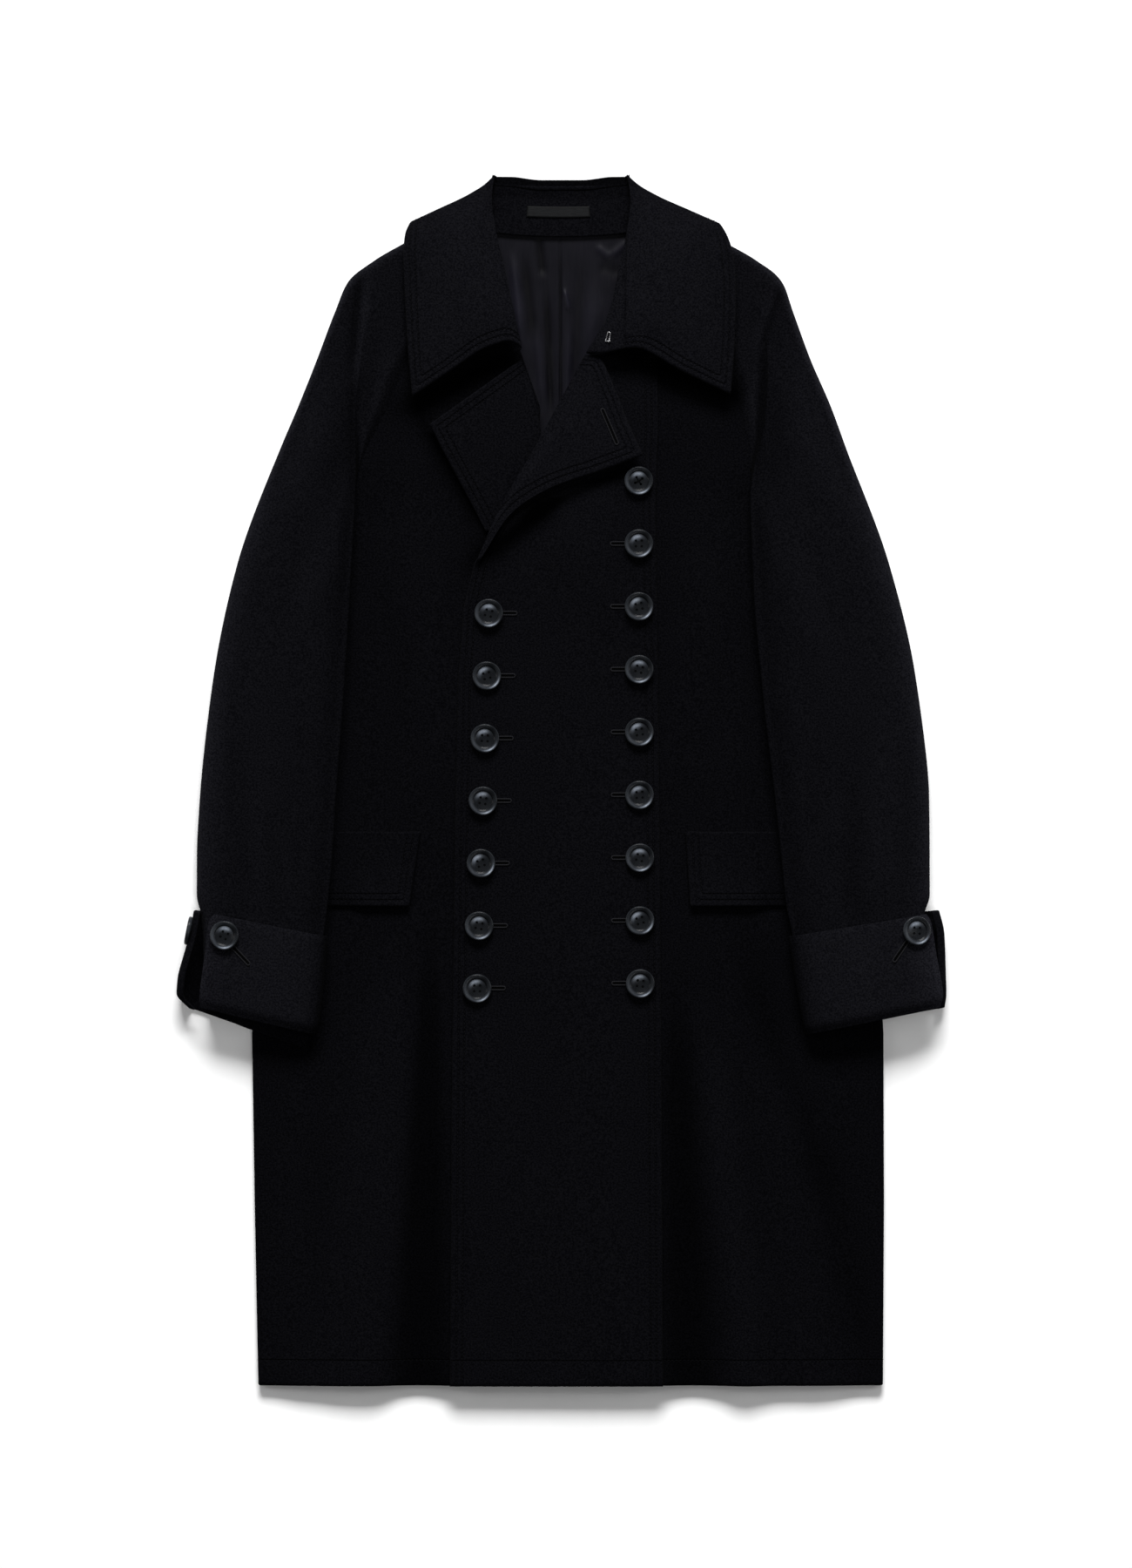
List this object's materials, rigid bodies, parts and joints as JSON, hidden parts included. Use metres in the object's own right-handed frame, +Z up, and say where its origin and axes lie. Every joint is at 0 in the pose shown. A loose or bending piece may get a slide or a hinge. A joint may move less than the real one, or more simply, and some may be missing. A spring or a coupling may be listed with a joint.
{
  "type": "raglan coat",
  "caption": "Long dark wool coat with raglan sleeves, a wide pointed collar, lapels, a buttoned centre panel, pocket flaps and turned-back cuffs, laid flat on its back.",
  "frame": {"origin": "on the floor under the middle of the coat's outline", "axes": "+Y from hem to collar, +X towards the wearer's left sleeve, +Z up from the floor, out of the front"},
  "size_m": [0.7253, 1.1415, 0.0396],
  "materials": {
    "wool": "black wool coating with a short nap",
    "satin": "dark satin lining",
    "button": "dark horn resin, half gloss",
    "label": "bare woven label",
    "hook": "bent wire"
  },
  "bodies": {
    "root": {"back": "wool", "button_cuff_left": "button", "button_cuff_right": "button", "button_left_1": "button", "button_left_2": "button", "button_left_3": "button", "button_left_4": "button", "button_left_5": "button", "button_left_6": "button", "button_left_7": "button", "button_left_8": "button", "button_left_9": "button", "button_right_1": "button", "button_right_2": "button", "button_right_3": "button", "button_right_4": "button", "button_right_5": "button", "button_right_6": "button", "button_right_7": "button", "button_split_right": "button", "collar": "wool", "collar_hook": "hook", "collar_stand": "wool", "cuff_left_back": "wool", "cuff_left_front": "wool", "cuff_right_back": "wool", "cuff_right_front": "wool", "flap_left": "wool", "flap_right": "wool", "front_left": "wool", "front_panel": "wool", "front_right": "wool", "label": "label", "lapel_left": "wool", "lapel_right": "wool", "lining_back": "satin", "sleeve_left_back": "wool", "sleeve_left_front": "wool", "sleeve_right_back": "wool", "sleeve_right_front": "wool"}
  },
  "joints": []
}
